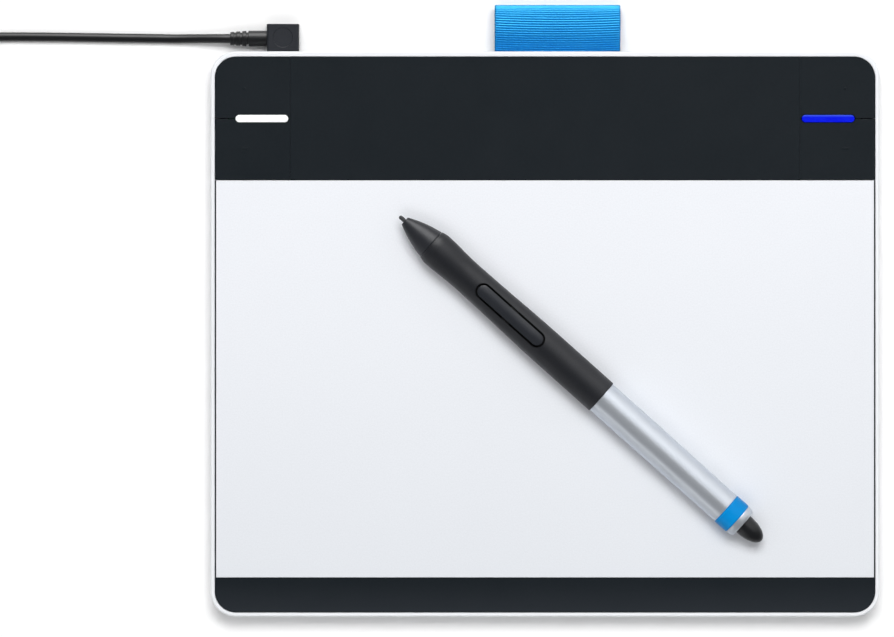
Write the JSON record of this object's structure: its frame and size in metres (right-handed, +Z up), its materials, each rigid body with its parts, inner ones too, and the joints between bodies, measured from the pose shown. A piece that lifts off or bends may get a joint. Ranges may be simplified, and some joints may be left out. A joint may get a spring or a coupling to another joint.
{
  "type": "pen drawing tablet",
  "caption": "Slim desktop pen drawing tablet with corner keys, status lights, fabric pen loop, battery-free pen with rocker switch and eraser, and a detachable USB lead.",
  "frame": {"origin": "on the table, under the middle of the tablet's footprint with its pen loop", "axes": "+X to the user's right, +Y to the back edge with the keys and the loop, +Z up"},
  "size_m": [0.3434, 0.1986, 0.0218],
  "materials": {
    "white_shell": "fine satin grain",
    "black_top": "fine spark-eroded grain",
    "key_black": "fine spark-eroded grain",
    "sheet": "paper-feel silver-white texture",
    "light_clear": "clear light pipe, unlit",
    "light_blue": "light pipe, lit blue",
    "loop_blue": "ribbed elastic webbing",
    "rubber_grey": "matte",
    "screw_steel": "zinc-plated",
    "plain_white": "moulded",
    "film": "amber polyester film",
    "board": "solder-masked fibreglass board",
    "steel": "bare sheet",
    "chip": "moulded epoxy",
    "gold": "gold-plated",
    "header_black": "moulded",
    "nib_plastic": "polished acetal",
    "pen_black": "fine satin",
    "grip_rubber": "soft-touch",
    "pen_silver": "satin silver metallic lacquer on plastic",
    "ring_blue": "gloss",
    "eraser_black": "satin",
    "ferrite": "sintered",
    "copper": "enamelled copper wire",
    "cable_black": "satin PVC jacket",
    "insert_white": "moulded"
  },
  "bodies": {
    "tablet": {"bottom_shell": "white_shell", "top_frame": "black_top", "drawing_sheet": "sheet", "light_left": "light_clear", "light_right": "light_blue", "pen_loop": "loop_blue", "loop_retainer": "plain_white", "rubber_feet": "rubber_grey", "case_screws": "screw_steel", "touch_film": "film", "sensor_board": "board", "shield_plate": "steel", "main_board": "board", "controller_chips": "chip", "flex_cable": "film", "flex_socket": "plain_white", "usb_socket": "steel", "status_leds": "plain_white", "tact_switches": "steel", "battery_contacts": "gold", "module_header": "header_black", "spare_nibs": "nib_plastic", "nib_puller": "steel"},
    "key_back_left": {"key_back_left": "key_black"},
    "key_front_left": {"key_front_left": "key_black"},
    "key_back_right": {"key_back_right": "key_black"},
    "key_front_right": {"key_front_right": "key_black"},
    "plunger_back_left": {"plunger_back_left": "header_black"},
    "plunger_front_left": {"plunger_front_left": "header_black"},
    "plunger_back_right": {"plunger_back_right": "header_black"},
    "plunger_front_right": {"plunger_front_right": "header_black"},
    "door": {"battery_door": "white_shell"},
    "pen": {"pen_cone": "pen_black", "pen_grip": "grip_rubber", "pen_barrel": "pen_silver", "pen_ring": "ring_blue", "pen_collar": "pen_silver", "switch_pivot": "steel", "pen_carrier": "header_black", "pen_core": "ferrite", "pen_winding": "copper", "nib_sensor": "steel", "pen_board": "board", "switch_domes": "gold", "eraser_sensor": "steel"},
    "nib": {"pen_nib": "nib_plastic"},
    "eraser": {"pen_eraser": "eraser_black"},
    "side_switch": {"side_switch": "pen_black"},
    "lead": {"plug_body": "cable_black", "plug_shell": "steel", "plug_relief": "cable_black", "lead_run": "cable_black", "lead_coil": "cable_black", "coil_tie": "cable_black", "lead_tail": "cable_black", "far_plug_body": "cable_black", "far_plug_shell": "steel", "far_plug_insert": "insert_white", "far_plug_relief": "cable_black"}
  },
  "joints": [
    {"name": "key_back_left_press", "type": "hinge", "parent": "tablet", "child": "key_back_left", "pos_m": [-0.08265, 0.0622, 0.0092], "axis": [0, -1, 0], "range_deg": [0, 1.1], "stiffness_Nm_per_rad": 1.2},
    {"name": "plunger_back_left_travel", "type": "slide", "parent": "tablet", "child": "plunger_back_left", "axis": [0, 0, -1], "range_m": [0, 0.0003]},
    {"name": "key_front_left_press", "type": "hinge", "parent": "tablet", "child": "key_front_left", "pos_m": [-0.08265, 0.0622, 0.0092], "axis": [0, -1, 0], "range_deg": [0, 1.1], "stiffness_Nm_per_rad": 1.2},
    {"name": "plunger_front_left_travel", "type": "slide", "parent": "tablet", "child": "plunger_front_left", "axis": [0, 0, -1], "range_m": [0, 0.0003]},
    {"name": "key_back_right_press", "type": "hinge", "parent": "tablet", "child": "key_back_right", "pos_m": [0.08265, 0.0622, 0.0092], "axis": [0, 1, 0], "range_deg": [0, 1.1], "stiffness_Nm_per_rad": 1.2},
    {"name": "plunger_back_right_travel", "type": "slide", "parent": "tablet", "child": "plunger_back_right", "axis": [0, 0, -1], "range_m": [0, 0.0003]},
    {"name": "key_front_right_press", "type": "hinge", "parent": "tablet", "child": "key_front_right", "pos_m": [0.08265, 0.0622, 0.0092], "axis": [0, 1, 0], "range_deg": [0, 1.1], "stiffness_Nm_per_rad": 1.2},
    {"name": "plunger_front_right_travel", "type": "slide", "parent": "tablet", "child": "plunger_front_right", "axis": [0, 0, -1], "range_m": [0, 0.0003]},
    {"name": "door_tilt", "type": "hinge", "parent": "tablet", "child": "door", "pos_m": [0, -0.0018, 0.0008], "axis": [-1, 0, 0], "range_deg": [0, 60]},
    {"name": "pen_lift", "type": "slide", "parent": "tablet", "child": "pen", "axis": [0, 0, 1], "range_m": [0, 0.06]},
    {"name": "nib_press", "type": "slide", "parent": "pen", "child": "nib", "axis": [0.745, -0.6671, 0], "range_m": [0, 0.0004], "stiffness_N_per_m": 2000},
    {"name": "eraser_press", "type": "slide", "parent": "pen", "child": "eraser", "axis": [-0.745, 0.6671, 0], "range_m": [0, 0.0008], "stiffness_N_per_m": 1200},
    {"name": "side_switch_rock", "type": "hinge", "parent": "pen", "child": "side_switch", "pos_m": [-0.01137, -0.00159, 0.01882], "axis": [0.6671, 0.745, 0], "range_deg": [-2.5, 2.5], "stiffness_Nm_per_rad": 0.12},
    {"name": "lead_pull", "type": "slide", "parent": "tablet", "child": "lead", "axis": [0, 1, 0], "range_m": [0, 0.012]}
  ],
  "couplings": [
    {"joint": "plunger_back_left_travel", "follows": "key_back_left_press", "m_per_rad": 0.01475},
    {"joint": "plunger_front_left_travel", "follows": "key_front_left_press", "m_per_rad": 0.01475},
    {"joint": "plunger_back_right_travel", "follows": "key_back_right_press", "m_per_rad": 0.01475},
    {"joint": "plunger_front_right_travel", "follows": "key_front_right_press", "m_per_rad": 0.01475}
  ]
}
